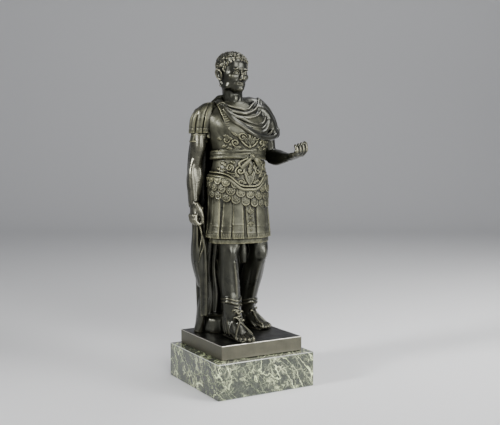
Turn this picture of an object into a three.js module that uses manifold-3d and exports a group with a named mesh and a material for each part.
// Bronze statuette of a standing general in a relief cuirass and a long cloak, on a square
// bronze plinth and a veined green marble base. Millimetres, +Z up, the figure faces -Y and its
// own left is +X. The origin is the centre of the marble's underside.
import * as THREE from "three";
import { mergeVertices } from "three/addons/utils/BufferGeometryUtils.js";
import Module from "manifold-3d";

const wasm = await Module();
wasm.setup();

// Driving dimensions
const MARBLE_SIDE = 150;
const MARBLE_HEIGHT = 48;
const PLINTH_SIDE = 126.5;
const PLINTH_HEIGHT = 20;
const PLINTH_SHIFT = { x: 1.5, y: 3 };
const SEAT_GAP = 0.3;
const FIGURE_HEIGHT = 394;
const GROUND = MARBLE_HEIGHT + PLINTH_HEIGHT + SEAT_GAP;
const CROWN = MARBLE_HEIGHT + PLINTH_HEIGHT + FIGURE_HEIGHT;
const TURN = Math.PI * 2;

const FRONT = new THREE.Vector3(0, -1, 0);
const UP = new THREE.Vector3(0, 0, 1);
const point = (x, y, z) => new THREE.Vector3(x, y, z);

// Joint centres of the pose: weight on the right leg, left knee bent, left forearm held out
const POSE = {
  hipRight: point(-26, -6, 268),
  kneeRight: point(-24, -10, 184),
  ankleRight: point(-19.5, -13, 90),
  heelRight: point(-19.5, -3, GROUND),
  toeRight: point(-19.5, -61, GROUND),
  hipLeft: point(14, 2, 268),
  kneeLeft: point(29, -1, 181),
  ankleLeft: point(32, 42, 92),
  heelLeft: point(31, 54, GROUND),
  toeLeft: point(48, -2, GROUND),
  shoulderRight: point(-54, 9, 375),
  elbowRight: point(-60.5, 20, 304),
  wristRight: point(-65, 14, 252),
  shoulderLeft: point(40, 7, 376),
  elbowLeft: point(53, 8, 322),
  wristLeft: point(57, -44, 318),
  neckBase: point(-10, 1, 384),
  skull: point(-14, -3, 438),
};
const HEAD_TURN = THREE.MathUtils.degToRad(8);
const HEAD_SCALE = 0.93;
// Joining solids that graze each other leaves triangles thinner than this, in mm. They are merged.
const SLIVER = 0.06;

// A closed geometry becomes a solid whose faces point outwards.
function solidOf(geometry) {
  const bare = new THREE.BufferGeometry();
  bare.setAttribute("position", geometry.getAttribute("position"));
  if (geometry.index) bare.setIndex(geometry.index);
  const merged = mergeVertices(bare, 1e-3);
  const faces = new Uint32Array(merged.index.array);
  const vertices = merged.attributes.position.array;
  const shape = { numProp: 3, vertProperties: vertices, triVerts: faces };
  const made = () => new wasm.Manifold(new wasm.Mesh(shape));
  const solid = made();
  if (solid.volume() > 0) return solid;
  for (let i = 0; i < faces.length; i += 3) {
    [faces[i + 1], faces[i + 2]] = [faces[i + 2], faces[i + 1]];
  }
  return made();
}

// Skins rings that all have the same number of points, and closes both ends on their centres.
function skin(rings) {
  const sides = rings[0].length;
  const points = rings.flat();
  const sumOf = (ring) => ring.reduce((sum, p) => sum.add(p), point(0, 0, 0));
  const centreOf = (ring) => sumOf(ring).divideScalar(ring.length);
  const low = points.push(centreOf(rings[0])) - 1;
  const high = points.push(centreOf(rings[rings.length - 1])) - 1;
  const faces = [];
  for (let side = 0; side < sides; side++) {
    const next = (side + 1) % sides;
    for (let level = 0; level < rings.length - 1; level++) {
      const here = level * sides;
      const above = here + sides;
      faces.push(here + side, here + next, above + side);
      faces.push(here + next, above + next, above + side);
    }
    const last = (rings.length - 1) * sides;
    faces.push(low, next, side);
    faces.push(high, last + side, last + next);
  }
  const geometry = new THREE.BufferGeometry().setFromPoints(points);
  geometry.setIndex(faces);
  return solidOf(geometry);
}

// Joins many solids into one.
const join = (solids) => solids.reduce((whole, piece) => whole.add(piece));

// The outer skin alone, which fills any pocket sealed in between joined pieces.
function outerSkin(solid) {
  const shells = solid.decompose();
  return shells.reduce((largest, shell) => (shell.volume() > largest.volume() ? shell : largest));
}

// A smooth value through evenly spaced knots, at share t from 0 to 1.
function along(knots, t) {
  const place = t * (knots.length - 1);
  const k = Math.min(Math.floor(place), knots.length - 2);
  const f = place - k;
  const at = (i) => knots[THREE.MathUtils.clamp(i, 0, knots.length - 1)];
  const [a, b, c, d] = [at(k - 1), at(k), at(k + 1), at(k + 2)];
  const curve = 2 * a - 5 * b + 4 * c - d;
  const twist = 3 * b - a - 3 * c + d;
  return 0.5 * (2 * b + (c - a) * f + curve * f ** 2 + twist * f ** 3);
}

// A limb along a curve through joints. wide and deep are its half sizes across and front to
// back, as knots spread evenly along it.
function limb(joints, wide, deep, steps, sides, front = FRONT) {
  const curve = new THREE.CatmullRomCurve3(joints, false, "centripetal");
  const rings = [];
  for (let step = 0; step <= steps; step++) {
    const t = step / steps;
    const centre = curve.getPoint(t);
    const tangent = curve.getTangent(t);
    const across = new THREE.Vector3().crossVectors(tangent, front).normalize();
    const ahead = new THREE.Vector3().crossVectors(across, tangent).normalize();
    const ring = [];
    for (let side = 0; side < sides; side++) {
      const angle = (TURN * side) / sides;
      ring.push(
        centre
          .clone()
          .addScaledVector(across, along(wide, t) * Math.cos(angle))
          .addScaledVector(ahead, along(deep, t) * Math.sin(angle)),
      );
    }
    rings.push(ring);
  }
  return skin(rings);
}

// A round tube along a curve, for folds, rims and straps.
const LEANING = point(0.2, 0.3, 0.93);
const tube = (points, radii, steps, sides = 6) => limb(points, radii, radii, steps, sides, LEANING);

// Horizontal sections stacked up Z. Each station is z, centre x and y, half width and half
// depth. swell(angle, z) scales the radius; angle 0 is +X and -90 degrees is the front.
function stack(stations, sides, swell = () => 1) {
  return skin(
    stations.map(({ z, x, y, wide, deep }) =>
      Array.from({ length: sides }, (_, side) => {
        const angle = (TURN * side) / sides;
        const grow = swell(angle, z);
        return point(x + wide * grow * Math.cos(angle), y + deep * grow * Math.sin(angle), z);
      }),
    ),
  );
}

// An ellipsoid with half sizes, turned about Z.
function ball(centre, halfSizes, across = 10, up = 7, turn = 0) {
  const geometry = new THREE.SphereGeometry(1, across, up);
  geometry.rotateX(Math.PI / 2);
  geometry.scale(...halfSizes);
  geometry.rotateZ(turn);
  geometry.translate(centre.x, centre.y, centre.z);
  return solidOf(geometry);
}

// A point on an elliptical belt round the body.
function onBody(angle, z, wide, deep, x, y) {
  return point(x + wide * Math.cos(angle), y + deep * Math.sin(angle), z);
}

// The cuirass follows the chest and belly, with the breast muscles and the rim of the belly.
function cuirass() {
  const sections = [
    { z: 250, x: -4, y: 0, wide: 40, deep: 32 },
    { z: 272, x: -4.5, y: 0, wide: 42.5, deep: 33 },
    { z: 292, x: -5, y: -0.5, wide: 41, deep: 32 },
    { z: 313, x: -4.5, y: -1, wide: 39, deep: 30 },
    { z: 328, x: -5, y: -1, wide: 41, deep: 32 },
    { z: 345, x: -6, y: -1, wide: 44, deep: 34.5 },
    { z: 360, x: -7, y: 0, wide: 46, deep: 33 },
    { z: 373, x: -8, y: 1, wide: 45, deep: 28 },
    { z: 383, x: -9, y: 2, wide: 35, deep: 21 },
    { z: 391, x: -10, y: 2, wide: 20, deep: 16 },
  ];
  const BREAST_HALF = [16, 9, 13];
  const breasts = [-24, 10].map((x) => ball(point(x, -26, 352), BREAST_HALF, 8, 5));
  const RIM_STEPS = 8;
  const rimPoint = (share) => {
    const angle = -Math.PI * share;
    const drop = Math.sin(Math.PI * share) ** 1.6;
    return onBody(angle, 294 - 21 * drop, 41 + 2 * drop, 32 + 3 * drop, -4.5, 0);
  };
  const rim = tube(
    Array.from({ length: RIM_STEPS + 1 }, (_, i) => rimPoint(i / RIM_STEPS)),
    [2.4, 2.4],
    RIM_STEPS,
    4,
  );
  const belly = ball(point(-4, -23, 290), [25, 13, 22], 8, 5);
  return join([stack(sections, 16), ...breasts, belly, rim]);
}

// The belt is knotted in front, with two short ends.
function belt() {
  const TURNS = 14;
  const band = [];
  for (let i = 0; i < TURNS; i++) band.push(-TURN * (i / TURNS));
  const ring = (z, grow) => band.map((angle) => onBody(angle, z, 39.5 + grow, 31 + grow, -4.5, -1));
  const sash = skin([ring(315, -2), ring(316, 1.6), ring(325, 1.9), ring(326, -2)]);
  const knotAt = point(-1, -33, 318);
  const ends = [-1, 1].map((side) =>
    tube(
      [knotAt, point(-1 + side * 7, -34, 311), point(-1 + side * 12, -34, 299)],
      [2.4, 2.2, 1.4],
      2,
      4,
    ),
  );
  return join([sash, ball(knotAt, [6, 4, 4.5], 8, 5), ...ends]);
}

// The leather skirt in one skin, from the cuirass down: two overlapping rows of round tongues,
// lowest in front, then long strips with grooves between them, open underneath.
const SKIRT = { x: -3.5, y: 0 };
function skirt() {
  const TONGUES = 12;
  const STRIPS = 12;
  const COUNT = TONGUES * 3;
  const GROOVE = 1.8;
  const ROUND = 6;
  const angleOf = (i) => (TURN * i) / COUNT;
  // the rows of tongues hang lowest in front and are lifted over the right hip
  const FRONT_DROP = 7;
  const HIP_LIFT = 6;
  const level = (angle) => FRONT_DROP * Math.sin(angle) - HIP_LIFT * Math.cos(angle);
  const onRing = (i, z, wide, deep, shift = 0) =>
    onBody(angleOf(i), z, wide, deep, SKIRT.x + shift, SKIRT.y);
  const everyPoint = (make) => Array.from({ length: COUNT }, (_, i) => make(i));
  // the scalloped lower edge of a row of tongues, offset half a tongue where shift is 0.5
  const edge = (z, wide, deep, shift) =>
    everyPoint((i) => {
      const place = ((i / (COUNT / TONGUES) + shift) % 1) * 2 - 1;
      const rise = ROUND * (1 - Math.sqrt(Math.max(0, 1 - place * place)));
      return onRing(i, z + level(angleOf(i)) + rise, wide, deep);
    });
  const strip = (z, wide, deep, shift) =>
    everyPoint((i) => {
      const cut = i % (COUNT / STRIPS) === 0 ? GROOVE : 0;
      return onRing(i, z, wide - cut, deep - cut, shift);
    });
  return skin([
    everyPoint((i) => onRing(i, 209, 36, 25)),
    everyPoint((i) => onRing(i, 198, 44, 33)),
    everyPoint((i) => onRing(i, 205, 44, 33)),
    strip(204.5, 47, 36, 1),
    edge(259, 41.5, 33, 0.5),
    edge(257, 44.5, 36, 0.5),
    edge(267, 42, 34, 0),
    edge(266, 44, 36, 0),
    everyPoint((i) => onRing(i, 286, 40.5, 32)),
  ]);
}

// The head has a cap of short locks: above the hairline its sections swell in rows of waves.
function head() {
  const SIDES = 12;
  // height above the chin, middle in front of the skull's centre, half width, half depth
  const levels = [
    [0, 11, 5, 4],
    [4, 9, 10, 12],
    [11, 4, 15, 19],
    [20, 1, 17.5, 22.5],
    [30, -0.5, 19, 24.5],
    [40, -1, 20.5, 26],
    [45, -1, 20.3, 25.4],
    [50, -1.5, 18.5, 23],
    [55, -2, 13.5, 17],
    [58.7, -2.5, 6, 8],
  ];
  const chin = CROWN - 59;
  const HAIRLINE = chin + 39;
  const LOCKS = 6;
  const LOCK_DEPTH = 0.035;
  const swell = (angle, z) => (z > HAIRLINE ? 1 + LOCK_DEPTH * Math.cos(angle * LOCKS + z * 0.63) : 1);
  const skull = stack(
    levels.map(([up, ahead, wide, deep]) => ({ z: chin + up, x: 0, y: -ahead, wide, deep })),
    SIDES,
    swell,
  );
  const brow = ball(point(0, -20.5, chin + 32), [13, 4.5, 3.2], 7, 4);
  const nose = limb(
    [point(0, -22, chin + 32), point(0, -24.2, chin + 24), point(0, -24.6, chin + 18)],
    [2, 2.8, 3.6],
    [2, 3.2, 3.2],
    3,
    6,
  );
  const lips = ball(point(0, -21, chin + 12), [6, 3, 2.6], 6, 4);
  const ears = [-1, 1].map((side) => ball(point(side * 19.5, 2, chin + 24), [2.4, 4, 7.5], 6, 5));
  const whole = join([skull, brow, nose, lips, ...ears]);
  const { x, y } = POSE.skull;
  return whole
    .translate([0, 0, -CROWN])
    .scale(HEAD_SCALE)
    .rotate([0, 0, THREE.MathUtils.radToDeg(HEAD_TURN)])
    .translate([x, y, CROWN]);
}

function neck() {
  const joints = [POSE.neckBase, point(-11, 0, 398), point(-12, -1, 414)];
  return limb(joints, [17, 13.5, 14], [15, 13.5, 14.5], 4, 10);
}

// A curled finger: from a knuckle, through its bend, to its narrower tip.
function finger(knuckle, bend, tip, radius) {
  return tube([knuckle, bend, tip], [radius, radius, radius * 0.85], 2, 4);
}

// The right arm hangs at the side and its hand grips a gathered edge of the cloak.
function rightArm() {
  const { shoulderRight, elbowRight, wristRight } = POSE;
  const arm = limb(
    [shoulderRight, point(-58, 16, 338), elbowRight, point(-63.5, 18, 280), wristRight],
    [13.5, 11.5, 9.5, 10, 6.3],
    [14.5, 13, 10.5, 10.5, 7],
    7,
    8,
  );
  const palm = limb([wristRight, point(-64, 12, 240), point(-63, 11, 231)], [6, 7, 6], [7.5, 11, 10], 2, 7);
  const FINGERS = 4;
  const fingers = Array.from({ length: FINGERS }, (_, i) => {
    const y = 3 + i * 5.2;
    const z = 231 - i * 0.8;
    return finger(point(-67, y, z + 4), point(-65, y + 1, z - 5), point(-58, y + 1, z - 4), 3.1);
  });
  const thumb = finger(point(-62, 5, 244), point(-57, 0, 236), point(-57, 1, 227), 3.2);
  return join([arm, palm, thumb, ...fingers]);
}

// The left forearm is held out, with the palm up and the fingers curled.
function leftArm() {
  const { shoulderLeft, elbowLeft, wristLeft } = POSE;
  const upper = limb([shoulderLeft, point(48, 8, 350), elbowLeft], [14, 11.5, 9.5], [14.5, 12.5, 10], 3, 8);
  const elbow = ball(elbowLeft, [9.6, 10.5, 10], 8, 6);
  const forearm = limb(
    [point(53, 9, 321), point(55, -14, 318), wristLeft],
    [9.5, 10, 6.4],
    [9.5, 9.5, 5.6],
    5,
    8,
    UP,
  );
  const palm = limb(
    [wristLeft, point(60, -53, 320), point(63, -60, 322)],
    [6.4, 9, 9.5],
    [5, 5, 4.6],
    2,
    7,
    UP,
  );
  const FINGERS = 4;
  const fingers = Array.from({ length: FINGERS }, (_, i) => {
    const spread = i * 4.8 - 7.2;
    const base = point(63 + spread * 0.85, -61 + spread * 0.4, 323);
    const bend = base.clone().add(point(2.5, -7, 5 + i * 0.5));
    const tip = base.clone().add(point(-1, -2.5, 12 + i * 0.5));
    return finger(base, bend, tip, 2.9);
  });
  const thumb = finger(point(53, -50, 321), point(51, -58, 328), point(54, -62, 334), 3);
  return join([upper, elbow, forearm, palm, thumb, ...fingers]);
}

function leg(hip, knee, ankle) {
  const back = point(0, 1, 0);
  const thigh = hip.clone().lerp(knee, 0.5);
  const calf = knee.clone().lerp(ankle, 0.33).addScaledVector(back, 3);
  const shin = knee.clone().lerp(ankle, 0.68);
  const bare = limb(
    [hip, thigh, knee, calf, shin, ankle],
    [19, 17.5, 13.5, 14.5, 10.5, 8.5],
    [20, 18.5, 14.5, 16, 12, 10.5],
    8,
    8,
  );
  const cap = ball(knee.clone().addScaledVector(FRONT, 10), [7, 5, 8.5], 6, 5);
  return join([bare, cap]);
}

// An open-toed boot: the foot, its rolled cuff, a front tongue, crossed straps and five toes.
function bootedFoot(heel, toe, ankle, knee, outward) {
  const ahead = toe.clone().sub(heel).normalize();
  const across = new THREE.Vector3().crossVectors(ahead, UP).multiplyScalar(outward);
  const at = (forward, side, up) =>
    heel.clone().addScaledVector(ahead, forward).addScaledVector(across, side).add(point(0, 0, up));
  const FOOT = [
    { forward: -6, wide: 5, high: 8 },
    { forward: -2, wide: 9, high: 14 },
    { forward: 8, wide: 10.5, high: 25 },
    { forward: 20, wide: 10.5, high: 24 },
    { forward: 30, wide: 11.5, high: 16.5 },
    { forward: 42, wide: 12.5, high: 11 },
    { forward: 50, wide: 12.5, high: 7.5 },
  ];
  const SIDES = 8;
  const FLAT = 0.18;
  const foot = skin(
    FOOT.map(({ forward, wide, high }) =>
      Array.from({ length: SIDES }, (_, side) => {
        const angle = (TURN * side) / SIDES;
        const lift = Math.max(0, 0.5 + Math.sin(angle) * 0.5 - FLAT) / (1 - FLAT);
        return at(forward, wide * Math.cos(angle), high * lift);
      }),
    ),
  );
  const TOES = 5;
  const toes = Array.from({ length: TOES }, (_, i) => {
    const size = i === 0 ? 3.6 : 2.9 - i * 0.12;
    const side = -9 + i * 4.7;
    return ball(at(54 - i * 1.9, side, 2.5 + size * 0.6), [size, size + 1.5, size], 5, 3);
  });
  const cuffHeight = 41;
  const cuffAt = ankle.clone().lerp(knee, (GROUND + cuffHeight - ankle.z) / (knee.z - ankle.z));
  const shaft = limb([at(8, 0, 12), ankle, cuffAt], [9, 9.6, 11.5], [11, 12, 13.2], 3, 9);
  const cuff = stack(
    [
      { z: cuffAt.z - 3, x: cuffAt.x, y: cuffAt.y, wide: 11, deep: 13 },
      { z: cuffAt.z, x: cuffAt.x, y: cuffAt.y, wide: 13.4, deep: 15.2 },
      { z: cuffAt.z + 3, x: cuffAt.x, y: cuffAt.y, wide: 11, deep: 13 },
    ],
    9,
  );
  const STRAP = [1.6, 1.6];
  const straps = [-1, 1].map((side) =>
    tube([at(27, 0, 19.5), at(36, side * 6.5, 12.5), at(42, side * 11.5, 5)], STRAP, 2, 4),
  );
  const flap = tube([at(22, 0, 26), at(19, 0, 33), at(15.5, 0, 40)], [3.4, 4.2, 3], 2, 5);
  return join([foot, shaft, cuff, flap, ...straps, ...toes]);
}

// The short sleeve of leather strips over the right shoulder, with the tunic's sleeve below it.
function rightSleeve() {
  const STRIPS = 8;
  const POINTS_PER_STRIP = 2;
  const GROOVE = 1.4;
  // z, centre x and y, half sizes, and whether the strips' grooves show at that level
  const levels = [
    [338, -57.5, 15.5, 9, 9, false],
    [338, -57.5, 15.5, 12.4, 13.4, false],
    [351, -55, 12.5, 13, 14, false],
    [350, -55, 12.5, 15.4, 16.4, true],
    [361, -54, 11, 15.6, 16.4, true],
    [374, -52, 9, 15.6, 16, true],
    [385, -49, 7, 12, 13, false],
    [391, -46, 6, 5, 7, false],
  ];
  return skin(
    levels.map(([z, x, y, wide, deep, grooved]) =>
      Array.from({ length: STRIPS * POINTS_PER_STRIP }, (_, i) => {
        const cut = grooved && i % POINTS_PER_STRIP === 0 ? GROOVE : 0;
        return onBody((TURN * i) / (STRIPS * POINTS_PER_STRIP), z, wide - cut, deep - cut, x, y);
      }),
    ),
  );
}

// The cloak crosses the chest in hanging folds from the brooch to the left shoulder.
function chestDrape() {
  const brooch = point(-36, -12, 388);
  const FOLDS = 4;
  const folds = [];
  for (let i = 0; i < FOLDS; i++) {
    const low = i / (FOLDS - 1);
    const start = brooch.clone().add(point(3 - 8 * low, -3 - 4 * low, -3 - 5 * low));
    const middle = point(2 + 4 * low, -23 - 11 * Math.sqrt(low), 382 - 30 * low);
    const side = point(30 + 8 * low, -18 - 2 * low, 379 - 33 * low);
    const end = point(44 + 12 * low, 2, 386 - 34 * low);
    folds.push(tube([start, middle, side, end], [3.6, 4.6, 5, 4.4], 4, 4));
  }
  const web = limb(
    [point(-31, -9, 380), point(0, -19, 374), point(28, -10, 368), point(42, 4, 366)],
    [8, 14, 20, 19],
    [8, 13, 14, 13],
    4,
    8,
    UP.clone().multiplyScalar(-1),
  );
  const shoulder = limb(
    [point(10, 9, 389), point(32, 8, 386), point(44, 8, 366), point(47, 8, 352)],
    [11, 14, 15.5, 14],
    [14, 16, 17, 16],
    4,
    8,
  );
  return join([web, shoulder, ball(brooch, [6.5, 4.5, 6.5], 8, 5), ...folds]);
}

// The cloak hangs down the back from the shoulders to the ground, in upright folds.
function backCloak() {
  const FOLDS = 5;
  const STEPS = 13;
  // x of both edges; y of the right edge, of the left edge and of the back; thickness
  const levels = [
    { z: GROUND, left: 44, right: -50, wrap: 38, side: 39, back: 57, thick: 8 },
    { z: 85, left: 44, right: -50, wrap: 38, side: 39, back: 57, thick: 8 },
    { z: 90, left: 44, right: -55.5, wrap: 22, side: 38, back: 57, thick: 8 },
    { z: 150, left: 45, right: -56, wrap: 22, side: 34, back: 56, thick: 8 },
    { z: 200, left: 47, right: -58, wrap: 23, side: 29, back: 54, thick: 8 },
    { z: 262, left: 50, right: -61, wrap: 28, side: 27, back: 51, thick: 8 },
    { z: 320, left: 54, right: -61, wrap: 27, side: 26, back: 44, thick: 8 },
    { z: 350, left: 56, right: -60, wrap: 22, side: 21, back: 38, thick: 9 },
    { z: 372, left: 50, right: -57, wrap: 14, side: 14, back: 30, thick: 11 },
    { z: 388, left: 36, right: -46, wrap: 9, side: 9, back: 22, thick: 12 },
    { z: 400, left: 22, right: -32, wrap: 10, side: 10, back: 18, thick: 9 },
  ];
  const FOLD_DEPTH = 3.2;
  const rings = levels.map(({ z, left, right, wrap, side, back, thick }) => {
    const settle = THREE.MathUtils.smoothstep(388 - z, 0, 90);
    const line = (share, inset) => {
      const x = right + (left - right) * share;
      const bow = Math.sin(Math.PI * share) ** 0.45;
      const fold = FOLD_DEPTH * settle * Math.cos(TURN * FOLDS * share + z * 0.006);
      const edge = THREE.MathUtils.lerp(wrap, side, share);
      return point(x, edge + (back - edge) * bow + fold - inset, z);
    };
    const outside = Array.from({ length: STEPS + 1 }, (_, i) => line(i / STEPS, 0));
    const inside = Array.from({ length: STEPS + 1 }, (_, i) => line(1 - i / STEPS, thick));
    return [...outside, ...inside];
  });
  return skin(rings);
}

// The gathered edge that hangs from the right hand, and the rounded end between the legs.
function hangingFolds() {
  const gather = limb(
    [point(-62, 14, 228), point(-61, 18, 200), point(-57, 24, 172), point(-51, 34, 146)],
    [5, 6.5, 7, 6],
    [8, 13, 13, 9],
    5,
    8,
  );
  const edge = tube([point(-58, 8, 218), point(-54, 6, 192), point(-58, 13, 168)], [2.6, 2.6, 2], 4);
  const lobe = limb(
    [point(16, 24, 212), point(16, 24, 190), point(17, 23, 168)],
    [5, 7.5, 5],
    [6, 8, 5],
    5,
    8,
  );
  return join([gather, edge, lobe]);
}

// A low rounded block behind the right foot carries the cloak's end. Its corners are round and
// it stands turned on the plinth.
function block() {
  const BLOCK_TURN = 31;
  const profile = [
    { z: 0, x: 0, y: 0, wide: 17.5, deep: 19 },
    { z: 4, x: 0, y: 0, wide: 18, deep: 19.5 },
    { z: 16, x: 0, y: 0, wide: 17.5, deep: 19 },
    { z: 20, x: 1, y: 0, wide: 14.5, deep: 16 },
  ];
  const SQUARENESS = 0.2;
  const shape = stack(profile, 16, (angle) => 1 + SQUARENESS * Math.sin(2 * angle) ** 2);
  return shape.rotate([0, 0, BLOCK_TURN]).translate([-20.5, 32.5, GROUND]);
}

function figure() {
  const { hipRight, kneeRight, ankleRight, heelRight, toeRight } = POSE;
  const { hipLeft, kneeLeft, ankleLeft, heelLeft, toeLeft } = POSE;
  return join([
    skirt(),
    cuirass(),
    belt(),
    neck(),
    head(),
    rightArm(),
    rightSleeve(),
    leftArm(),
    leg(hipRight, kneeRight, ankleRight),
    leg(hipLeft, kneeLeft, ankleLeft),
    bootedFoot(heelRight, toeRight, ankleRight, kneeRight, -1),
    bootedFoot(heelLeft, toeLeft, ankleLeft, kneeLeft, 1),
    backCloak(),
    chestDrape(),
    hangingFolds(),
    block(),
  ]);
}

// A square slab with small chamfers on every edge.
function slab(side, height, chamfer) {
  const level = (z, half) => [
    point(-half, -half + chamfer, z),
    point(-half + chamfer, -half, z),
    point(half - chamfer, -half, z),
    point(half, -half + chamfer, z),
    point(half, half - chamfer, z),
    point(half - chamfer, half, z),
    point(-half + chamfer, half, z),
    point(-half, half - chamfer, z),
  ];
  const half = side / 2;
  return skin([
    level(0, half - chamfer),
    level(chamfer, half),
    level(height - chamfer, half),
    level(height, half - chamfer),
  ]);
}

// A solid goes back to a mesh with flat faces.
function meshOf(name, solid, material) {
  const { vertProperties, triVerts, numProp } = solid.getMesh();
  const positions = new Float32Array((vertProperties.length / numProp) * 3);
  for (let i = 0; i < positions.length / 3; i++) {
    positions.set(vertProperties.subarray(i * numProp, i * numProp + 3), i * 3);
  }
  const geometry = new THREE.BufferGeometry();
  geometry.setAttribute("position", new THREE.BufferAttribute(positions, 3));
  geometry.setIndex(new THREE.BufferAttribute(triVerts, 1));
  geometry.computeVertexNormals();
  const mesh = new THREE.Mesh(geometry, material);
  mesh.name = name;
  return mesh;
}

const bronze = new THREE.MeshStandardMaterial({ color: 0x2f2e26, roughness: 0.38, metalness: 0.9 });
const marble = new THREE.MeshStandardMaterial({ color: 0x55604f, roughness: 0.25, metalness: 0 });

const statuette = new THREE.Group();

const marbleBase = meshOf("marble_base", slab(MARBLE_SIDE, MARBLE_HEIGHT, 0.8), marble);
statuette.add(marbleBase);

const plinth = meshOf("bronze_plinth", slab(PLINTH_SIDE, PLINTH_HEIGHT - SEAT_GAP, 0.7), bronze);
plinth.position.set(PLINTH_SHIFT.x, PLINTH_SHIFT.y, MARBLE_HEIGHT + SEAT_GAP);
statuette.add(plinth);

const cast = outerSkin(outerSkin(figure()).simplify(SLIVER));
statuette.add(meshOf("figure", cast, bronze));

export default statuette;
